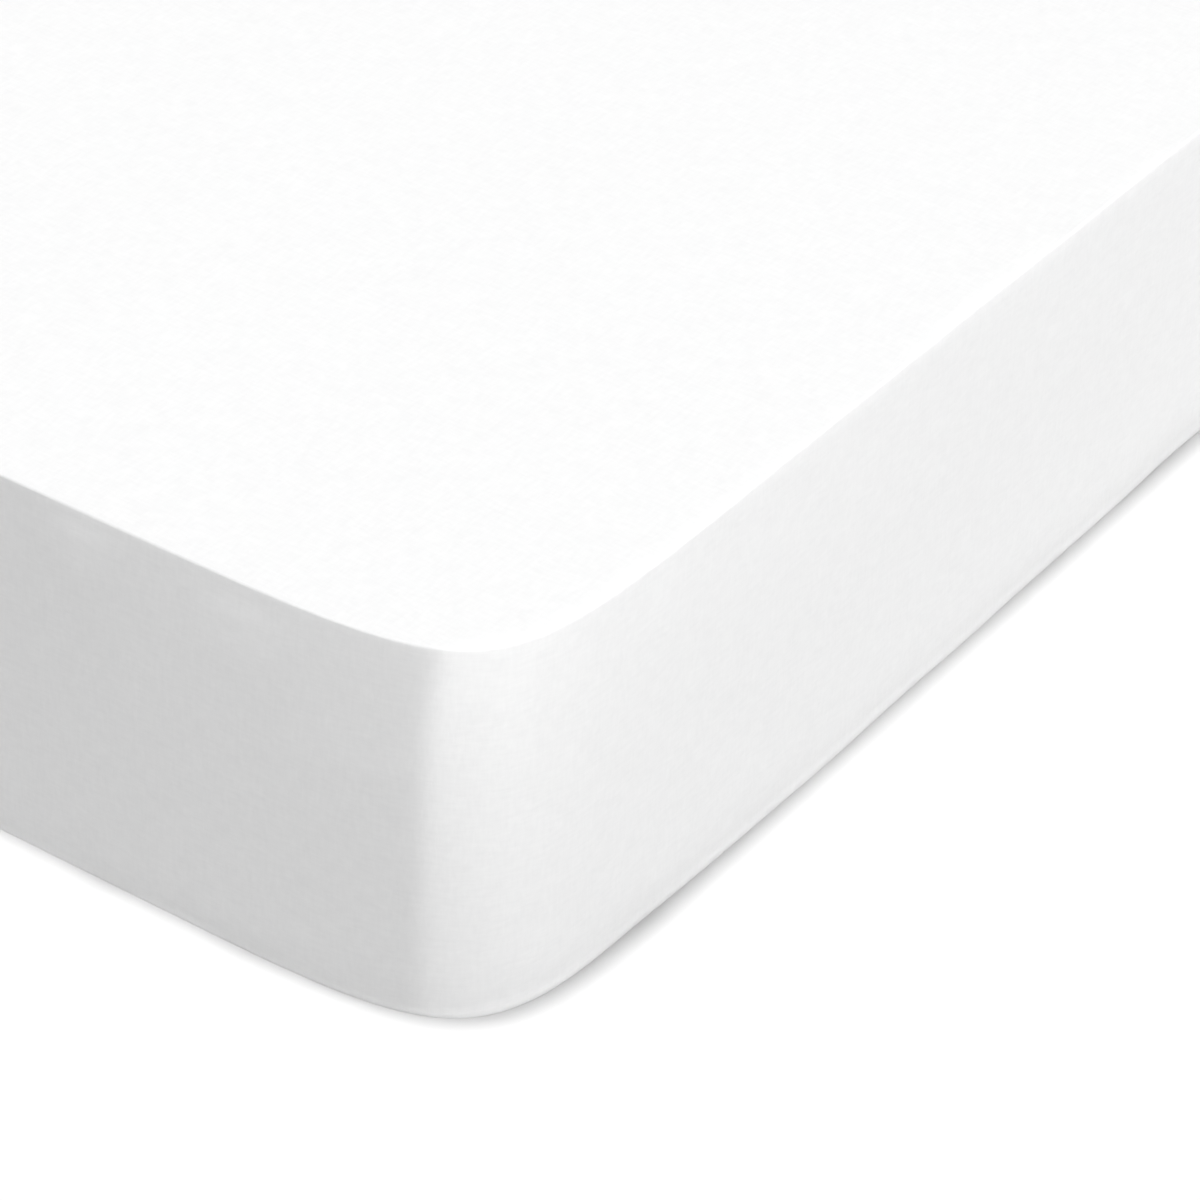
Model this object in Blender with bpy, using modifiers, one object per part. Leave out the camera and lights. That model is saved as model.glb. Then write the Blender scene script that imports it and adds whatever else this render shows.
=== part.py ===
"""A fitted sheet drawn over a plain mattress that stands on a flat surface.

Metres. The origin is the middle of the underside, +X runs across the mattress, +Y along it
and +Z up. The sheet is one cloth: top, sides, and a border turned under to a folded hem.
"""

import math
from collections import namedtuple

import bmesh
import bpy
from mathutils import Vector

# The whole, over the outside of the cloth
WIDTH = 0.90
LENGTH = 1.90
HEIGHT = 0.25
CORNER_REACH = 0.235  # how far a rounded corner runs back along each side from where they would meet

# The cloth
CLOTH = 0.0015  # thickness
TOP_ROLL = 0.006  # outer radius where it turns over the mattress's top edge
BOTTOM_ROLL = 0.009  # outer radius where it turns under
TURN_UNDER = 0.120  # from the outside to the edge of the opening underneath
OPENING_REACH = 0.300  # corners of that opening, rounder than the mattress's
HEM_WIDTH = 0.020  # folded back on the border's upper side
HEM_LAYER_GAP = 0.0003
HEM_FOLD = CLOTH + HEM_LAYER_GAP / 2  # outer radius of the hem's fold

# The mattress
CLEARANCE = 0.0003  # to the cloth
MATTRESS_EDGE = 0.011  # rounding of its long edges, larger than the cloth's rolls
MATTRESS_EDGE_STEPS = 4

CORNER_STEPS = 20

# A plan outline: how far it is set in from the outside, and the reach of its corners
Outline = namedtuple("Outline", "inset reach")
OUTSIDE = Outline(inset=0.0, reach=CORNER_REACH)
OPENING = Outline(inset=TURN_UNDER, reach=OPENING_REACH)

# A bend of the cloth in section: its centre, its outer radius, and the angles in degrees that it
# turns through, 0 pointing out of the side and 90 up
Bend = namedtuple("Bend", "outline inset height radius first last steps")
BENDS = (
    Bend(OUTSIDE, TOP_ROLL, HEIGHT - TOP_ROLL, TOP_ROLL, 90, 0, 5),
    Bend(OUTSIDE, BOTTOM_ROLL, BOTTOM_ROLL, BOTTOM_ROLL, 0, -90, 4),
    Bend(OPENING, TURN_UNDER - HEM_FOLD, HEM_FOLD, HEM_FOLD, -90, -270, 4),
)


def corner_points(outline, inset):
    """Distances from the long side and from the end, round one corner from the one to the other.

    They grow with the cube of the way round, so the corner leaves each side with no kink.
    """
    points = []
    for step in range(CORNER_STEPS + 1):
        gone = step / CORNER_STEPS
        left = 1 - gone
        curve = outline.reach * Vector((gone**3, left**3))
        outward = Vector((left**2, gone**2)).normalized()
        margin = Vector((outline.inset, outline.inset))
        points.append(margin + curve + (inset - outline.inset) * outward)
    return points


def plan_ring(outline, inset, height):
    """Points round the outline set in by this much, anticlockwise seen from above."""
    ring = []
    for side_x, side_y in ((1, 1), (-1, 1), (-1, -1), (1, -1)):
        corner = corner_points(outline, inset)
        if side_x != side_y:
            corner.reverse()
        for from_side, from_end in corner:
            ring.append((side_x * (WIDTH / 2 - from_side), side_y * (LENGTH / 2 - from_end), height))
    return ring


def bend_rings(bend):
    """Rings of the cloth's outer side along one bend."""
    rings = []
    for step in range(bend.steps + 1):
        angle = math.radians(bend.first + (bend.last - bend.first) * step / bend.steps)
        inset = bend.inset - bend.radius * math.cos(angle)
        height = bend.height + bend.radius * math.sin(angle)
        rings.append(plan_ring(bend.outline, inset, height))
    return rings


def material(name, colour, roughness):
    made = bpy.data.materials.new(name)
    made.use_nodes = True
    surface = made.node_tree.nodes["Principled BSDF"]
    surface.inputs["Base Color"].default_value = (*colour, 1.0)
    surface.inputs["Roughness"].default_value = roughness
    surface.inputs["Metallic"].default_value = 0.0
    return made


def add_object(name, bm, surface, collection):
    """An object of this name from a finished bmesh, shaded smooth but for its creases."""
    mesh = bpy.data.meshes.new(name)
    bm.to_mesh(mesh)
    bm.free()
    mesh.shade_smooth()
    mesh.set_sharp_from_angle(angle=math.radians(40))
    mesh.materials.append(surface)
    made = bpy.data.objects.new(name, mesh)
    collection.objects.link(made)
    return made


def add_fitted_sheet(collection):
    """The cloth's outer side from the top panel down, under and round the hem's fold, then its thickness."""
    rings = [ring for bend in BENDS for ring in bend_rings(bend)]
    rings.append(plan_ring(OPENING, TURN_UNDER - HEM_WIDTH, 2 * HEM_FOLD))

    bm = bmesh.new()
    loops = [[bm.verts.new(point) for point in ring] for ring in rings]
    bm.faces.new(loops[0])
    for upper, lower in zip(loops, loops[1:]):
        for i in range(len(upper)):
            following = (i + 1) % len(upper)
            bm.faces.new((upper[i], lower[i], lower[following], upper[following]))

    cotton = material("white_cotton", (0.88, 0.88, 0.87), 0.9)
    sheet = add_object("fitted_sheet", bm, cotton, collection)
    thickness = sheet.modifiers.new("Cloth thickness", "SOLIDIFY")
    thickness.thickness = CLOTH
    thickness.offset = -1.0
    thickness.use_even_offset = True
    return sheet


def add_mattress(collection):
    """The plan inside the cloth, drawn up from the hem to the top panel and rounded along its edges."""
    inset = CLOTH + CLEARANCE
    underside = 2 * HEM_FOLD + CLEARANCE
    top = HEIGHT - CLOTH - CLEARANCE

    bm = bmesh.new()
    base = bm.faces.new([bm.verts.new(point) for point in plan_ring(OUTSIDE, inset, underside)])
    drawn = bmesh.ops.extrude_face_region(bm, geom=[base])
    lifted = [item for item in drawn["geom"] if isinstance(item, bmesh.types.BMVert)]
    bmesh.ops.translate(bm, vec=(0, 0, top - underside), verts=lifted)
    bmesh.ops.recalc_face_normals(bm, faces=bm.faces)

    ticking = material("mattress_ticking", (0.80, 0.79, 0.76), 0.95)
    mattress = add_object("mattress", bm, ticking, collection)
    rounding = mattress.modifiers.new("Rounded edges", "BEVEL")
    rounding.width = MATTRESS_EDGE
    rounding.segments = MATTRESS_EDGE_STEPS
    rounding.limit_method = "ANGLE"
    rounding.angle_limit = math.radians(60)
    return mattress


def main():
    for old in list(bpy.data.objects):
        bpy.data.objects.remove(old, do_unlink=True)
    collection = bpy.data.collections.new("Fitted sheet on a mattress")
    bpy.context.scene.collection.children.link(collection)
    add_fitted_sheet(collection)
    add_mattress(collection)


main()
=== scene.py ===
import math

import bmesh
import bpy
from mathutils import Euler, Matrix, Vector, noise


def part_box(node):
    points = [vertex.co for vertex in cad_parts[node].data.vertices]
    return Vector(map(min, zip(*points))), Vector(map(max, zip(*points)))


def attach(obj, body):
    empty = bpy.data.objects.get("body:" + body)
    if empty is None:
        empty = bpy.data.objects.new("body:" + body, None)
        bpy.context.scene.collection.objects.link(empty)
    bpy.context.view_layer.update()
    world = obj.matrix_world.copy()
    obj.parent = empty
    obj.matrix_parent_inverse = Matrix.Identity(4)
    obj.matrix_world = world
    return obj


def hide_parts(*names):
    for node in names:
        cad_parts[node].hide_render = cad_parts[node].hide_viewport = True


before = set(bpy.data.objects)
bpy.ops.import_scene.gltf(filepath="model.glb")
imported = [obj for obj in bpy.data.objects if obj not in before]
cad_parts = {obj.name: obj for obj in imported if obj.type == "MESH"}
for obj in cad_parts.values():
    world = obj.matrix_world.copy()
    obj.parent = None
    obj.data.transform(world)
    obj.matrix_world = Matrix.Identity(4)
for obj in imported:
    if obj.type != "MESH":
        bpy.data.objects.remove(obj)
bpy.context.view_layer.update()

# A white fitted sheet drawn taut over a plain mattress, on a pale studio floor.
# Metres, +X across the mattress, +Y along it, +Z up, origin in the middle of the underside.

halfWidth, halfLength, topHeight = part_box("fitted_sheet")[1]  # its highest corner


# Small helpers for meshes and node trees
def finishObject(name, bm, material):
    mesh = bpy.data.meshes.new(name)
    bm.to_mesh(mesh)
    bm.free()
    mesh.shade_smooth()
    mesh.materials.append(material)
    made = bpy.data.objects.new(name, mesh)
    bpy.context.scene.collection.objects.link(made)
    return made


def easeIn(value, start, end):
    share = min(max((value - start) / (end - start), 0.0), 1.0)
    return share * share * (3.0 - 2.0 * share)


noiseStride = Vector((7.3, 3.1, 5.7))  # each seed reads the noise this much further on


def unevenness(point, size, seed):  # soft noise from -1 to 1, with lumps of about this size
    return noise.noise(Vector(point) / size + noiseStride * seed)


def lumpiness(point, lumps, seed):  # several sizes of it together, each with its part in the whole
    total = 0.0
    for size, part in lumps:
        total += part * unevenness(point, size, seed)
        seed += 1
    return total


def addNode(tree, kind, inputs=None, **settings):
    node = tree.nodes.new(kind)
    for name, value in settings.items():
        setattr(node, name, value)
    for name, value in (inputs or {}).items():
        if isinstance(value, bpy.types.NodeSocket):
            tree.links.new(value, node.inputs[name])
        else:
            node.inputs[name].default_value = value
    return node


def newMaterial(name):
    material = bpy.data.materials.new(name)
    material.use_nodes = True
    return material, material.node_tree, material.node_tree.nodes["Principled BSDF"]


def addBump(tree, strength, depth, height, under=None):  # under is a bump that this one adds to
    inputs = {"Strength": strength, "Distance": depth, "Height": height}
    if under is not None:
        inputs["Normal"] = under
    return addNode(tree, "ShaderNodeBump", inputs).outputs["Normal"]


def mixColour(tree, surface, share, first, second):
    mixed = addNode(tree, "ShaderNodeMix", {"Factor": share, "A": first, "B": second}, data_type="RGBA")
    tree.links.new(mixed.outputs["Result"], surface.inputs["Base Color"])


def bandScale(width):  # the scale at which a wave texture's bands repeat after this width
    return math.pi / (10.0 * width)


# The plan: a rectangle whose corners are rounded with no kink where they leave the sides
planSizes = {
    "cornerReach": 0.235,  # how far a rounded corner runs back along each side
    "openingInset": 0.120,  # from the outside to the edge of the opening underneath
    "openingReach": 0.300,  # as cornerReach, at that opening
}


def roundedPlace(x, y, halfX, halfY, reach):
    # where a point of the full rectangle lies once the corners are rounded, and which way is out there
    fromSide, fromEnd = halfX - abs(x), halfY - abs(y)
    depth = min(fromSide, fromEnd)
    run = reach - depth
    along = max(fromSide, fromEnd) - depth
    bySide = fromSide <= fromEnd
    outSide, outEnd = (1.0, 0.0) if bySide else (0.0, 1.0)
    if along < run:
        way = 0.5 * (1.0 - along / run)  # 0 where the corner starts, 0.5 on its diagonal
        near, far = depth + run * way**3, depth + run * (1.0 - way)**3
        outNear, outFar = (1.0 - way)**2, way**2
        fromSide, fromEnd = (near, far) if bySide else (far, near)
        outSide, outEnd = (outNear, outFar) if bySide else (outFar, outNear)
    place = Vector((math.copysign(halfX - fromSide, x), math.copysign(halfY - fromEnd, y)))
    outward = Vector((math.copysign(outSide, x), math.copysign(outEnd, y))).normalized()
    return place, outward


def rimPoint(x, y):
    # one station round the mattress: its place and outward direction on the outside and on the opening
    reach, inset = planSizes["cornerReach"], planSizes["openingInset"]
    outside, outward = roundedPlace(x, y, halfWidth, halfLength, reach)
    innerX, innerY = halfWidth - inset, halfLength - inset
    opening, inward = roundedPlace(
        x * innerX / halfWidth, y * innerY / halfLength, innerX, innerY, planSizes["openingReach"]
    )
    return {"outside": outside, "outward": outward, "opening": opening, "inward": inward}


def gridWithRim(step):
    # a flat grid over the full rectangle, and the stations of its rim in order round the mattress
    bm = bmesh.new()
    across, along = round(2 * halfWidth / step), round(2 * halfLength / step)
    bmesh.ops.create_grid(bm, x_segments=across, y_segments=along, size=1.0)
    bmesh.ops.scale(bm, vec=(halfWidth, halfLength, 1.0), verts=bm.verts)
    station = bm.verts.layers.int.new("station")
    rimVerts = [vert for vert in bm.verts if vert.is_boundary]
    rimVerts.sort(key=lambda vert: math.atan2(vert.co.y / halfLength, vert.co.x / halfWidth))
    stations = []
    for number, vert in enumerate(rimVerts):
        vert[station] = number
        stations.append(rimPoint(vert.co.x, vert.co.y))
    stations[0]["girth"] = 0.0
    for before, here in zip(stations, stations[1:]):
        here["girth"] = before["girth"] + (here["outside"] - before["outside"]).length
    return bm, stations


def growRim(bm, edges, stations, placeOf):
    # one more row of faces on the open rim, each new point placed by its station
    station = bm.verts.layers.int["station"]
    grown = bmesh.ops.extrude_edge_only(bm, edges=edges)["geom"]
    verts = [item for item in grown if isinstance(item, bmesh.types.BMVert)]
    for vert in verts:
        vert.co = placeOf(stations[vert[station]])
    fresh = set(verts)
    rim = [item for item in grown if isinstance(item, bmesh.types.BMEdge) and fresh.issuperset(item.verts)]
    return verts, rim


# Cloth of the sheet: plain-weave cotton
cottonLook = {
    "light": (0.850, 0.850, 0.850, 1.0),
    "dull": (0.815, 0.815, 0.817, 1.0),
    "toneRange": (2.0, 3.2),  # sums of all its unevenness that look dull and light
    "threadPitch": 0.00042,
    "fineSlub": (0.0010, 0.0065),  # width and length of the uneven stretches of thread
    "fineWeight": 0.6,
    "broadSlub": (0.0027, 0.0120),
    "broadWeight": 1.5,
    "mottle": 0.018,  # size of the faint clouds
    "patchScale": 0.35,  # of the patches with more knots in them, against that of the clouds
    "patchRange": (0.42, 0.60),
    "knotSpacing": 0.012,
    "knotSize": 0.0013,
    "knotShapes": ((1.0, 0.5, 1.0), (0.45, 1.0, 1.0)),  # drawn out along one thread or the other
    "knotRise": 1.1,  # weight in the bump
    "knotTone": -0.75,  # and in the tone
    "bumpDepth": 0.00012,
    "weaveBump": 0.5,
    "slubBump": 0.6,
    "roughness": 0.92,
    "specular": 0.25,
    "sheen": 0.12,
    "sheenRoughness": 0.5,
}


def slubNoise(tree, threads, size, shifts):
    # thread unevenness in both directions of the weave: noise drawn out along the thread, and read from
    # another place for each, so that warp and weft differ
    width, length = size
    both = []
    for shift, scale in zip(shifts, ((1 / width, 1 / length, 1.0), (1 / length, 1 / width, 1.0))):
        drawn = addNode(tree, "ShaderNodeMapping", {
            "Vector": threads, "Location": (shift, 2 * shift, 0.0), "Scale": scale})
        uneven = addNode(tree, "ShaderNodeTexNoise", {
            "Vector": drawn.outputs["Vector"], "Scale": 1.0, "Detail": 1.0, "Roughness": 0.5})
        both.append(uneven.outputs["Fac"])
    return addNode(tree, "ShaderNodeMath", {0: both[0], 1: both[1]}, operation="ADD").outputs[0]


def weaveHeight(tree, threads, pitch):
    # plain weave, warp and weft crossing over and under, so that it repeats every second thread
    crossing = []
    for direction in ("X", "Y"):
        wave = addNode(tree, "ShaderNodeTexWave", {"Vector": threads, "Scale": bandScale(2 * pitch)},
                       wave_type="BANDS", bands_direction=direction, wave_profile="SIN").outputs["Fac"]
        crossing.append(addNode(tree, "ShaderNodeMath", {0: wave, 1: -0.5}, operation="ADD").outputs[0])
    return addNode(tree, "ShaderNodeMath", {
        0: crossing[0], 1: crossing[1]}, operation="MULTIPLY").outputs[0]


def mottleNoise(tree, threads):
    # faint clouds over a few centimetres, and how strongly the knots show from place to place
    look = cottonLook
    clouds = addNode(tree, "ShaderNodeTexNoise", {
        "Vector": threads, "Scale": 1.0 / look["mottle"], "Detail": 2.0, "Roughness": 0.5})
    patches = addNode(tree, "ShaderNodeTexNoise", {
        "Vector": threads, "Scale": look["patchScale"] / look["mottle"], "Detail": 1.0})
    fewest, most = look["patchRange"]
    knotty = addNode(tree, "ShaderNodeMapRange", {
        "Value": patches.outputs["Fac"], "From Min": fewest, "From Max": most},
        interpolation_type="SMOOTHSTEP")
    return clouds.outputs["Fac"], knotty.outputs["Result"]


def knotMask(tree, threads, knotty):
    # tiny thickened spots scattered over the cloth
    look = cottonLook
    total = 0.0
    for drawn in look["knotShapes"]:
        place = addNode(tree, "ShaderNodeMapping", {"Vector": threads, "Scale": drawn})
        cells = addNode(tree, "ShaderNodeTexVoronoi", {
            "Vector": place.outputs["Vector"], "Scale": 1.0 / look["knotSpacing"], "Randomness": 1.0})
        spot = addNode(tree, "ShaderNodeMapRange", {
            "Value": cells.outputs["Distance"], "From Min": 0.0, "To Min": 1.0, "To Max": 0.0,
            "From Max": look["knotSize"] / look["knotSpacing"]}, interpolation_type="SMOOTHSTEP")
        total = addNode(tree, "ShaderNodeMath", {
            0: spot.outputs["Result"], 1: knotty, 2: total}, operation="MULTIPLY_ADD").outputs[0]
    return total


def cottonMaterial():
    material, tree, surface = newMaterial("whiteCotton")
    look = cottonLook
    threads = addNode(tree, "ShaderNodeUVMap", uv_map="threads").outputs["UV"]
    fine = slubNoise(tree, threads, look["fineSlub"], (3.1, 7.8))
    broad = slubNoise(tree, threads, look["broadSlub"], (12.4, 17.1))
    clouds, knotty = mottleNoise(tree, threads)
    knots = knotMask(tree, threads, knotty)

    def blend(factor, weight, rest):
        inputs = {0: factor, 1: weight, 2: rest}
        return addNode(tree, "ShaderNodeMath", inputs, operation="MULTIPLY_ADD").outputs[0]

    slubs = blend(broad, look["broadWeight"], blend(fine, look["fineWeight"], 0.0))
    raised = blend(knots, look["knotRise"], slubs)
    tone = blend(knots, look["knotTone"], blend(clouds, 1.0, slubs))
    dullest, lightest = look["toneRange"]
    share = addNode(tree, "ShaderNodeMapRange", {"Value": tone, "From Min": dullest, "From Max": lightest})
    mixColour(tree, surface, share.outputs["Result"], look["dull"], look["light"])

    weave = weaveHeight(tree, threads, look["threadPitch"])
    woven = addBump(tree, look["weaveBump"], look["bumpDepth"], weave)
    uneven = addBump(tree, look["slubBump"], look["bumpDepth"], raised, woven)
    tree.links.new(uneven, surface.inputs["Normal"])
    for name, value in (
        ("Roughness", look["roughness"]), ("Specular IOR Level", look["specular"]),
        ("Sheen Weight", look["sheen"]), ("Sheen Roughness", look["sheenRoughness"]),
    ):
        surface.inputs[name].default_value = value
    return material


cotton = cottonMaterial()

# The fitted sheet: one cloth, from the top panel over the sides and under to its hem
sheetSizes = {
    "thickness": 0.0015,
    "gridStep": 0.010,
    "footRoll": 0.0016,  # outer radius over the top edge at the two ends, where the cloth is tightest
    "sideRoll": 0.0020,  # the same along the two long sides
    "rollWander": 0.0004,  # how much that radius differs from place to place
    "rollLumps": ((0.085, 0.8), (0.030, 0.4)),  # lengths of its slow and quick changes, and their parts
    "footLean": 0.8,  # degrees that the cloth still leans just below that edge, at the two ends
    "sideLean": 7.5,  # the same along the long sides, away from their ends
    "cornerLean": 0.35,  # share of sideLean that is left at their ends
    "leanGrows": (0.18, 0.34),  # metres from the ends over which it grows to its full amount
    "leanDepth": 0.012,  # upright this far down
    "footReach": 0.160,  # height up to which the in and out of the lower edge is felt
    "edgeReach": 0.060,  # width over which the top panel's grid is drawn in at its edge
    "hemFold": 0.00165,  # outer radius of the hem's fold
    "hemWidth": 0.020,  # from the opening's edge
    "stitchLine": 0.0165,  # and so is this
    "crowding": 1.4,  # above 1, the rows down the sides lie closer together near the top
}
# How many rows of faces each stretch of the cloth has, from the top panel's edge to the end of the hem
sectionRows = (
    ("topRoll", 4), ("lean", 4), ("side", 32), ("border", 6), ("hemFold", 4), ("hemFlap", 1)
)
# How uneven the taut cloth is: how high it stands off, and the sizes of its lumps with their parts in that
sheetSwell = {
    "top": 0.0006,
    "topLumps": ((0.210, 1.0), (0.070, 0.35)),
    "topGrows": (0.006, 0.080),  # from the edge
    "side": 0.00028,
    "sideLumps": ((0.050, 1.0), (0.024, 0.5), (0.160, 0.6)),
    "sideSquash": 0.75,  # below 1, they are taller than they are long
    "sideGrows": (0.006, 0.030),  # from the floor
    "edgePuff": 0.00050,
    "edgeLump": 0.060,
    "edgeBelow": (0.019, 0.009),  # how far below the top the puffs lie, and their half height
    "gather": 0.0012,
    "ripple": 0.021,  # from one ripple of the border to the next
    "rippleDrift": (0.35, 31),  # how unevenly they follow each other
}

# Places where the sides stand a little proud: x, y, z, half length, half height, lift
softPuffs = (
    (0.450, -0.789, 0.227, 0.015, 0.010, 0.00130),
    (0.450, -0.745, 0.224, 0.012, 0.009, 0.00070),
    (0.450, -0.705, 0.210, 0.022, 0.011, 0.00090),
    (0.450, -0.664, 0.215, 0.020, 0.011, 0.00090),
    (0.450, -0.594, 0.208, 0.022, 0.011, 0.00080),
    (0.450, -0.773, 0.054, 0.012, 0.018, 0.00045),
    (0.450, -0.345, 0.206, 0.018, 0.018, 0.00090),
    (0.450, 0.110, 0.222, 0.024, 0.010, 0.00060),
    (0.450, 0.620, 0.224, 0.020, 0.009, 0.00055),
    (0.284, -0.950, 0.224, 0.023, 0.012, 0.00180),
    (0.176, -0.950, 0.229, 0.019, 0.011, 0.00175),
    (0.262, -0.950, 0.216, 0.020, 0.010, 0.00060),
    (0.326, -0.950, 0.172, 0.018, 0.010, 0.00100),
    (0.352, -0.950, 0.175, 0.018, 0.010, 0.00110),
    (0.380, -0.950, 0.181, 0.016, 0.011, 0.00110),
    (-0.060, -0.950, 0.230, 0.022, 0.008, 0.00060),
    (-0.270, -0.950, 0.228, 0.020, 0.009, 0.00065),
    (-0.450, -0.520, 0.224, 0.024, 0.010, 0.00060),
    (-0.450, -0.110, 0.220, 0.020, 0.010, 0.00060),
    (-0.450, 0.360, 0.225, 0.030, 0.011, 0.00070),
    (-0.140, 0.950, 0.227, 0.022, 0.009, 0.00060),
    (0.210, 0.950, 0.230, 0.020, 0.008, 0.00055),
)
# Where the lower edge runs a little in or out: x, y, half run, shift outwards
lowerWander = (
    (0.450, -0.800, 0.060, -0.0022),
    (0.450, -0.600, 0.060, 0.0012),
    (0.450, -0.450, 0.050, 0.0008),
    (0.450, -0.190, 0.050, -0.0015),
    (0.450, 0.420, 0.080, 0.0010),
    (-0.450, -0.580, 0.070, -0.0012),
    (-0.450, 0.140, 0.080, 0.0010),
    (-0.120, 0.950, 0.070, -0.0012),
    (0.230, 0.950, 0.060, 0.0009),
)


def edgeAt(station):
    # the radius of the roll over the top edge, how the cloth leans below it, how far that lean sets it in,
    # and how far the lower edge runs out
    sizes = sheetSizes
    alongSide = station["outward"].x**2
    x, y = station["outside"]
    roll = sizes["footRoll"] + (sizes["sideRoll"] - sizes["footRoll"]) * alongSide
    roll += sizes["rollWander"] * lumpiness((x, y, 0.0), sizes["rollLumps"], 1)
    least = sizes["cornerLean"]
    sideLean = sizes["sideLean"] * (least + (1 - least) * easeIn(halfLength - abs(y), *sizes["leanGrows"]))
    lean = math.radians(sizes["footLean"] + (sideLean - sizes["footLean"]) * alongSide)
    leanInset = math.tan(lean) * sizes["leanDepth"] / 2
    wander = 0.0
    for atX, atY, halfRun, shift in lowerWander:
        wander += shift * math.exp(-((x - atX)**2 + (y - atY)**2) / halfRun**2)
    return {"roll": roll, "lean": lean, "leanInset": leanInset, "wander": wander}


def sectionPoint(station, stretch, share):
    # the cloth's outer side in section: a point on one stretch, from its start to its end
    sizes = sheetSizes
    outside, outward = station["outside"], station["outward"]
    opening, inward = station["opening"], station["inward"]
    roll, lean, leanInset = station["roll"], station["lean"], station["leanInset"]
    fold, deep = sizes["hemFold"], sizes["leanDepth"]
    foot = outside + outward * station["wander"]
    leanTop = topHeight - roll * (1 - math.sin(lean))
    foldCentre = opening + inward * fold
    if stretch == "topRoll":
        turn = share * (math.pi / 2 - lean)
        flat = outside - outward * (roll * (1 - math.sin(turn)) + leanInset)
        height = topHeight - roll * (1 - math.cos(turn))
    elif stretch == "lean":
        flat = outside - outward * leanInset * (1 - share)**2
        height = leanTop - deep * share
    elif stretch == "side":
        height = (leanTop - deep) * (1 - share**sizes["crowding"])
        flat = foot.lerp(outside, easeIn(height, 0.0, sizes["footReach"]))
    elif stretch == "border":
        flat, height = foot.lerp(foldCentre, share), 0.0
    elif stretch == "hemFold":
        turn = share * math.pi
        flat = foldCentre - inward * fold * math.sin(turn)
        height = fold * (1 - math.cos(turn))
    else:
        flat, height = opening + inward * sizes["hemWidth"], 2 * fold
    return Vector((flat.x, flat.y, height))


def fromEdge(co):  # how far in a point of the top lies from the nearest side
    return min(halfWidth - abs(co.x), halfLength - abs(co.y))


def topPoint(co):
    # the top panel: the full grid drawn into the rounded plan and in by the roll at its edge
    place, outward = roundedPlace(co.x, co.y, halfWidth, halfLength, planSizes["cornerReach"])
    edge = edgeAt({"outside": place, "outward": outward})
    drawnIn = 1 - easeIn(fromEdge(co), 0.0, sheetSizes["edgeReach"])
    place = place - outward * (edge["roll"] + edge["leanInset"]) * drawnIn
    return Vector((place.x, place.y, topHeight))


def swellAt(co, stretch, girth):
    # how far the cloth stands off its plain shape, along its normal
    swell = sheetSwell
    if stretch == "top":
        return swell["top"] * lumpiness(co, swell["topLumps"], 3) * easeIn(fromEdge(co), *swell["topGrows"])
    if stretch not in ("side", "lean", "topRoll"):
        return 0.0
    squashed = Vector((co.x, co.y, co.z * swell["sideSquash"]))
    lift = swell["side"] * lumpiness(squashed, swell["sideLumps"], 5)
    below, halfBand = swell["edgeBelow"]
    band = math.exp(-((topHeight - co.z - below) / halfBand)**2)
    lift += swell["edgePuff"] * band * max(0.0, unevenness((girth, 0.0, 0.0), swell["edgeLump"], 8))
    for x, y, z, halfRun, halfTall, high in softPuffs:
        apart = math.hypot(co.x - x, co.y - y) / halfRun
        if apart < 3.0:  # further out it has died away
            lift += high * math.exp(-apart**2 - ((co.z - z) / halfTall)**2)
    return lift * easeIn(co.z, *swell["sideGrows"])


def gatherAt(station, share):
    # soft ripples of the turned-under border where it goes round a corner, lifting it off the floor
    swell = sheetSwell
    cornering = 4.0 * (station["outward"].x * station["outward"].y)**2
    drift, driftRate = swell["rippleDrift"]
    ripples = station["girth"] / swell["ripple"] + drift * math.sin(station["girth"] * driftRate)
    ripple = 0.5 - 0.5 * math.cos(2 * math.pi * ripples)
    return swell["gather"] * cornering * ripple * math.sin(math.pi * share)**0.7


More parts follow.
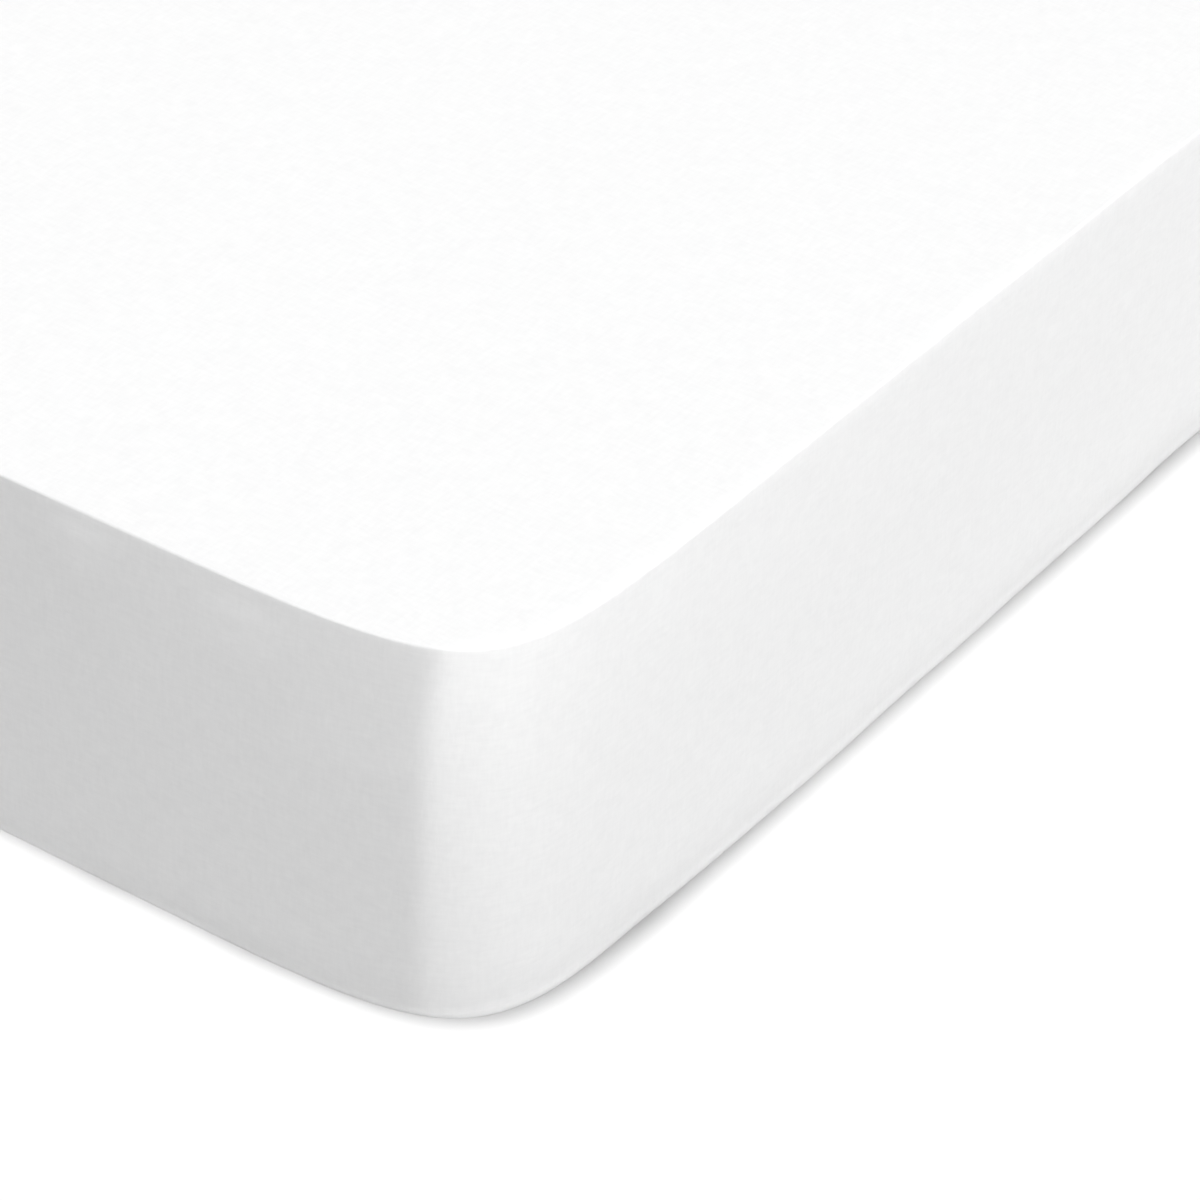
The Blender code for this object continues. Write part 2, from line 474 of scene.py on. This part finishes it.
def buildSheet():
    bm, stations = gridWithRim(sheetSizes["gridStep"])
    for station in stations:
        station.update(edgeAt(station))
    girthTotal = stations[-1]["girth"] + (stations[0]["outside"] - stations[-1]["outside"]).length
    number = bm.verts.layers.int["station"]
    girth, drop = bm.verts.layers.float.new("girth"), bm.verts.layers.float.new("drop")
    stretchOf = {vert: "top" for vert in bm.verts}
    for vert in bm.verts:
        if vert.is_boundary:
            vert[girth] = stations[vert[number]]["girth"]
            vert.co = sectionPoint(stations[vert[number]], "topRoll", 0.0)
        else:
            vert.co = topPoint(vert.co)

    rim = [edge for edge in bm.edges if edge.is_boundary]
    middle = stations[0]
    reached, before = 0.0, sectionPoint(middle, "topRoll", 0.0)
    for stretch, rows in sectionRows:
        for row in range(1, rows + 1):
            share = row / rows
            here = sectionPoint(middle, stretch, share)
            reached += (here - before).length
            before = here
            verts, rim = growRim(bm, rim, stations, lambda station: sectionPoint(station, stretch, share))
            for vert in verts:
                stretchOf[vert] = stretch
                vert[drop] = reached
                if stretch == "border":
                    vert.co.z += gatherAt(stations[vert[number]], share)
        if stretch == "side":
            for edge in rim:
                edge.smooth = False  # pressed to a line where it turns under
    bmesh.ops.recalc_face_normals(bm, faces=bm.faces)

    # the threads' own map, in metres: straight over the top panel, and round and down the sides
    threads = bm.loops.layers.uv.new("threads")
    for face in bm.faces:
        if all(vert[drop] == 0.0 for vert in face.verts):
            for loop in face.loops:
                loop[threads].uv = loop.vert.co.xy
            continue
        around = [loop.vert[girth] for loop in face.loops]
        wraps = max(around) - min(around) > girthTotal / 2
        for loop, way in zip(face.loops, around):
            if wraps and way < girthTotal / 2:
                way += girthTotal
            loop[threads].uv = (way, -loop.vert[drop])

    bm.normal_update()
    lifts = [(vert, vert.normal * swellAt(vert.co, stretchOf[vert], vert[girth])) for vert in bm.verts]
    for vert, lift in lifts:
        vert.co += lift

    sheet = finishObject("fittedSheet", bm, cotton)
    cloth = sheet.modifiers.new("clothThickness", "SOLIDIFY")
    cloth.thickness = sheetSizes["thickness"]
    cloth.offset = -1.0
    cloth.use_even_offset = True
    return sheet, stations, reached


fittedSheet, stations, clothDrop = buildSheet()
print("sheet built,", len(fittedSheet.data.polygons), "faces, cloth drop", round(clothDrop, 3))

# Lockstitch that holds the hem down, seen only from below
stitchSizes = {
    "pitch": 0.0034,
    "length": 0.0026,
    "width": 0.00045,
    "proud": 0.00018,  # of the cloth's underside
}
threadLook = {
    "light": (0.86, 0.86, 0.86, 1.0),
    "dull": (0.74, 0.74, 0.74, 1.0),
    "twist": 900.0,
    "roughness": 0.6,
}


def buildStitches():
    sizes = stitchSizes
    halfWide = sizes["width"] / 2
    shape = Matrix.Diagonal((sizes["length"] / 2, halfWide, halfWide, 1.0))
    path = [station["opening"] + station["inward"] * sheetSizes["stitchLine"] for station in stations]
    path.append(path[0])
    bm = bmesh.new()
    reached = 0.0  # where the next stitch comes, from the start of this run
    for start, end in zip(path, path[1:]):
        run = (end - start).length
        angle = math.atan2(end.y - start.y, end.x - start.x)
        while reached < run:
            spot = start.lerp(end, reached / run)
            place = Matrix.Translation((spot.x, spot.y, halfWide - sizes["proud"]))
            turned = place @ Matrix.Rotation(angle, 4, "Z") @ shape
            bmesh.ops.create_icosphere(bm, subdivisions=1, radius=1.0, matrix=turned)
            reached += sizes["pitch"]
        reached -= run
    return finishObject("hemStitching", bm, threadMaterial())


def threadMaterial():
    material, tree, surface = newMaterial("whiteThread")
    look = threadLook
    place = addNode(tree, "ShaderNodeTexCoord").outputs["Object"]
    twist = addNode(tree, "ShaderNodeTexWave", {"Vector": place, "Scale": look["twist"], "Distortion": 1.0},
                    bands_direction="DIAGONAL")
    mixColour(tree, surface, twist.outputs["Fac"], look["dull"], look["light"])
    surface.inputs["Roughness"].default_value = look["roughness"]
    return material


hemStitching = buildStitches()
print("hem stitched")

# The mattress, plain, filling the cloth and settling through the opening underneath
mattressSizes = {
    "gridStep": 0.030,
    "inset": 0.0044,  # from the outside of the cloth
    "underside": 0.0037,
    "top": topHeight - 0.0028,
    "edge": 0.006,  # radius
    "edgeRows": 4,
    "settle": 0.0030,  # how far it comes down through the opening
    "settleGrows": (0.15, 0.26),  # from the outside
}
tickingLook = {
    "ground": (0.70, 0.69, 0.66, 1.0),
    "stripe": (0.60, 0.60, 0.60, 1.0),
    "stripePitch": 0.012,
    "stripeEdge": (0.80, 0.92),  # the part of a stripe's wave over which it shows
    "twillPitch": 0.0011,
    "bumpStrength": 0.4,
    "bumpDepth": 0.0002,
    "roughness": 0.95,
}


def mattressPoint(station, turn, height):  # a point round its rounded edge, which turns up or down
    sizes = mattressSizes
    inset = sizes["inset"] + sizes["edge"] * (1 - math.sin(turn))
    flat = station["outside"] - station["outward"] * inset
    return Vector((flat.x, flat.y, height))


def buildMattress():
    sizes = mattressSizes
    bm, around = gridWithRim(sizes["gridStep"])
    number = bm.verts.layers.int["station"]
    for vert in bm.verts:
        if vert.is_boundary:
            vert.co = mattressPoint(around[vert[number]], 0.0, sizes["underside"])
            continue
        co = topPoint(vert.co)
        settled = easeIn(halfWidth - abs(co.x), *sizes["settleGrows"])
        settled *= easeIn(halfLength - abs(co.y), *sizes["settleGrows"])
        vert.co = (co.x, co.y, sizes["underside"] - sizes["settle"] * settled)
    rim = [edge for edge in bm.edges if edge.is_boundary]
    rows = sizes["edgeRows"]
    bends = [(row / rows * math.pi / 2, sizes["underside"], 1) for row in range(1, rows + 1)]
    bends += [((1 - row / rows) * math.pi / 2, sizes["top"], -1) for row in range(rows + 1)]
    for turn, level, upwards in bends:
        height = level + upwards * sizes["edge"] * (1 - math.cos(turn))
        rim = growRim(bm, rim, around, lambda station: mattressPoint(station, turn, height))[1]
    bmesh.ops.contextual_create(bm, geom=rim)
    bmesh.ops.recalc_face_normals(bm, faces=bm.faces)
    return finishObject("mattressBody", bm, tickingMaterial())


def tickingMaterial():
    material, tree, surface = newMaterial("mattressTicking")
    look = tickingLook
    place = addNode(tree, "ShaderNodeTexCoord").outputs["Object"]
    stripes = addNode(tree, "ShaderNodeTexWave", {"Vector": place, "Scale": bandScale(look["stripePitch"])},
                      bands_direction="X", wave_profile="SIN")
    starts, full = look["stripeEdge"]
    edges = addNode(tree, "ShaderNodeMapRange", {
        "Value": stripes.outputs["Fac"], "From Min": starts, "From Max": full})
    mixColour(tree, surface, edges.outputs["Result"], look["ground"], look["stripe"])
    twill = addNode(tree, "ShaderNodeTexWave", {"Vector": place, "Scale": bandScale(look["twillPitch"])},
                    bands_direction="DIAGONAL")
    bump = addBump(tree, look["bumpStrength"], look["bumpDepth"], twill.outputs["Fac"])
    tree.links.new(bump, surface.inputs["Normal"])
    surface.inputs["Roughness"].default_value = look["roughness"]
    return material


mattressBody = buildMattress()
print("mattress built")

# Each piece hangs from the root body, and the CAD part it stands for is hidden
for piece, node, slot in (
    (fittedSheet, "fitted_sheet", "white_cotton"),
    (hemStitching, None, "white_cotton"),
    (mattressBody, "mattress", "mattress_ticking"),
):
    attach(piece, "root")
    if node:
        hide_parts(node)

# Studio: floor, soft light and camera
floorLook = {
    "size": 60.0,
    "below": 0.00005,  # so that the hem doesn't cut into it
    # near is the colour of the painted pool of light, far the grey beyond it
    "near": (0.83, 0.83, 0.83, 1.0),
    "far": (0.60, 0.60, 0.60, 1.0),
    "brightFrom": (-0.25, -0.95),  # two corners of a rectangle, round which a pool of light is painted into the floor
    "brightTo": (0.45, 0.0),
    "fadeFrom": 0.37,  # metres from that rectangle
    "fadeTo": 1.00,
    "grainScale": 9.0,
    "bumpStrength": 0.05,
    "bumpDepth": 0.001,
    "roughness": 0.9,
    "specular": 0.1,
}
skyLook = {
    "glow": 0.331,
    "horizonGlow": 0.72,  # paler down to where it meets the floor
    "horizonTop": 0.12,
}
# turn is measured round from the foot end towards the right long side, height above the horizon
sunLights = {
    "overheadSun": {"strength": 2.60, "angle": 5.4, "turn": 272.0, "height": 88.3},
    "sideSun": {"strength": 0.785, "angle": 10.0, "turn": 108.0, "height": 8.0},
}
sunDistance = 5.0  # only where the lamps are drawn in the viewport
# Soft panels. Their light thins out from the top down to lowShare, and towards their left and right ends
# over the two shares of their width in fades. spread is how far it fans out, in degrees.
panelLights = {
    "footPanel": {"strength": 0.077, "size": (1.0, 0.34), "middle": (0.52, -3.4, 0.13), "turn": 0.0,
                  "spread": 2.0, "lowShare": 0.0, "fades": (0.32, 0.0)},
    "footWide": {"strength": 0.205, "size": (2.4, 0.34), "middle": (-0.40, -3.4, 0.13), "turn": 0.0,
                 "spread": 2.0, "lowShare": 0.0, "fades": (0.0, 0.0)},
    "sidePanel": {"strength": 0.145, "size": (1.3, 0.34), "middle": (2.9, -0.75, 0.13), "turn": 90.0,
                  "spread": 2.0, "lowShare": 0.0, "fades": (0.0, 0.60)},
    "sideWide": {"strength": 0.335, "size": (2.4, 0.34), "middle": (2.9, 0.0, 0.13), "turn": 90.0,
                 "spread": 2.0, "lowShare": 0.0, "fades": (0.0, 0.0)},
    "sideFar": {"strength": 0.275, "size": (2.6, 0.34), "middle": (2.9, 0.35, 0.13), "turn": 90.0,
                "spread": 2.0, "lowShare": 1.0, "fades": (0.40, 0.0)},
    "cornerPanel": {"strength": 0.0520, "size": (0.20, 0.34), "middle": (0.490, -2.4, 0.13), "turn": 0.0,
                    "spread": 0.4, "lowShare": 0.22, "fades": (0.08, 0.0),
                    "topSlant": 0.035, "slantHeights": (0.68, 0.88)},
    "footBase": {"strength": 0.0022, "size": (1.4, 0.005), "middle": (0.0, -3.4, 0.0015), "turn": 0.0,
                 "spread": 0.1, "lowShare": 1.0, "fades": (0.0, 0.0)},
    "sideBase": {"strength": 0.0099, "size": (2.4, 0.010), "middle": (2.9, 0.0, 0.003), "turn": 90.0,
                 "spread": 0.2, "lowShare": 1.0, "fades": (0.0, 0.0)},
}
cameraLook = {
    "turn": 33.57,  # degrees, as for the suns
    "tilt": 35.23,  # how steeply it looks down
    "lean": 2.53,
    "lens": 143.15,
    "sensor": 36.0,
    "place": (1.5817, -2.5594, 1.7024),
}


def buildFloor():
    look = floorLook
    material, tree, surface = newMaterial("paleFloor")
    place = addNode(tree, "ShaderNodeTexCoord").outputs["Object"]
    grain = addNode(tree, "ShaderNodeTexNoise", {
        "Vector": place, "Scale": look["grainScale"], "Detail": 3.0})
    bump = addBump(tree, look["bumpStrength"], look["bumpDepth"], grain.outputs["Fac"])
    tree.links.new(bump, surface.inputs["Normal"])
    # a painted pool of light: bright round the mattress and greyer further out, so that white cloth stands
    # out against it
    low, high = Vector((*look["brightFrom"], 0.0)), Vector((*look["brightTo"], 0.0))
    apart = place
    for step, operation in (
        ((low + high) / 2, "SUBTRACT"), (None, "ABSOLUTE"), ((high - low) / 2, "SUBTRACT"),
        (Vector(), "MAXIMUM"), (None, "LENGTH"),
    ):
        inputs = {0: apart} if step is None else {0: apart, 1: step}
        measure = addNode(tree, "ShaderNodeVectorMath", inputs, operation=operation)
        apart = measure.outputs["Value" if operation == "LENGTH" else "Vector"]
    fade = addNode(tree, "ShaderNodeMapRange", {
        "Value": apart, "From Min": look["fadeFrom"], "From Max": look["fadeTo"]},
        interpolation_type="SMOOTHSTEP")
    mixColour(tree, surface, fade.outputs["Result"], look["near"], look["far"])
    surface.inputs["Roughness"].default_value = look["roughness"]
    surface.inputs["Specular IOR Level"].default_value = look["specular"]
    bm = bmesh.new()
    bmesh.ops.create_grid(bm, x_segments=1, y_segments=1, size=look["size"] / 2)
    bmesh.ops.translate(bm, vec=(0.0, 0.0, -look["below"]), verts=bm.verts)
    finishObject("studioFloor", bm, material)


def lightFrom(turn, height):  # the way to a lamp
    across = math.cos(math.radians(height))
    return Vector((
        across * math.sin(math.radians(turn)), -across * math.cos(math.radians(turn)),
        math.sin(math.radians(height)),
    ))


def addLight(name, kind, strength, source, place):
    lamp = bpy.data.lights.new(name, kind)
    lamp.energy = strength
    made = bpy.data.objects.new(name, lamp)
    made.rotation_euler = source.to_track_quat("Z", "Y").to_euler()
    made.location = place
    made.visible_camera = False
    bpy.context.scene.collection.objects.link(made)
    return lamp


def addSun(name, look):
    source = lightFrom(look["turn"], look["height"])
    lamp = addLight(name, "SUN", look["strength"], source, source * sunDistance)
    lamp.angle = math.radians(look["angle"])


def addPanel(name, look):
    lamp = addLight(name, "AREA", look["strength"], lightFrom(look["turn"], 0.0), look["middle"])
    lamp.shape = "RECTANGLE"
    lamp.size, lamp.size_y = look["size"]
    lamp.spread = math.radians(look["spread"])
    lamp.use_nodes = True
    tree = lamp.node_tree
    across = addNode(tree, "ShaderNodeSeparateXYZ", {
        "Vector": addNode(tree, "ShaderNodeNewGeometry").outputs["Parametric"]})
    glow = addNode(tree, "ShaderNodeMapRange", {
        "Value": across.outputs["Y"], "To Min": look["lowShare"], "To Max": 1.0}).outputs["Result"]
    sideways = across.outputs["X"]
    if "topSlant" in look:  # between these heights its left end moves in
        low, high = look["slantHeights"]
        slant = addNode(tree, "ShaderNodeMapRange", {
            "Value": across.outputs["Y"], "From Min": low, "From Max": high, "To Max": look["topSlant"]},
            interpolation_type="SMOOTHSTEP")
        sideways = addNode(tree, "ShaderNodeMath", {0: sideways, 1: slant.outputs["Result"]},
                           operation="SUBTRACT").outputs[0]
    for start, share in ((0.0, look["fades"][0]), (1.0, look["fades"][1])):
        if share:
            fading = addNode(tree, "ShaderNodeMapRange", {
                "Value": sideways, "From Min": start, "From Max": abs(start - share)},
                interpolation_type="SMOOTHSTEP")
            glow = addNode(tree, "ShaderNodeMath", {0: glow, 1: fading.outputs["Result"]},
                           operation="MULTIPLY").outputs[0]
    tree.links.new(glow, tree.nodes["Emission"].inputs["Strength"])


def buildSky():
    world = bpy.data.worlds.new("studioSky")
    world.use_nodes = True
    tree = world.node_tree
    way = addNode(tree, "ShaderNodeSeparateXYZ", {
        "Vector": addNode(tree, "ShaderNodeTexCoord").outputs["Generated"]})
    glow = addNode(tree, "ShaderNodeMapRange", {
        "Value": way.outputs["Z"], "From Min": 0.0, "From Max": skyLook["horizonTop"],
        "To Min": skyLook["horizonGlow"], "To Max": skyLook["glow"]}, interpolation_type="SMOOTHSTEP")
    tree.nodes["Background"].inputs["Color"].default_value = (1.0, 1.0, 1.0, 1.0)
    tree.links.new(glow.outputs["Result"], tree.nodes["Background"].inputs["Strength"])
    bpy.context.scene.world = world


def buildCamera():
    look = cameraLook
    lens = bpy.data.cameras.new("studioCamera")
    lens.lens = look["lens"]
    lens.sensor_width = look["sensor"]
    camera = bpy.data.objects.new("studioCamera", lens)
    turned = Euler((math.radians(90.0 - look["tilt"]), 0.0, math.radians(look["turn"]))).to_matrix()
    leaned = turned @ Matrix.Rotation(math.radians(look["lean"]), 3, "Z")
    camera.matrix_world = Matrix.Translation(look["place"]) @ leaned.to_4x4()
    bpy.context.scene.collection.objects.link(camera)
    bpy.context.scene.camera = camera


buildFloor()
buildSky()
for name, look in sunLights.items():
    addSun(name, look)
for name, look in panelLights.items():
    addPanel(name, look)
buildCamera()
bpy.context.scene.view_settings.view_transform = "Standard"
print("studio set")
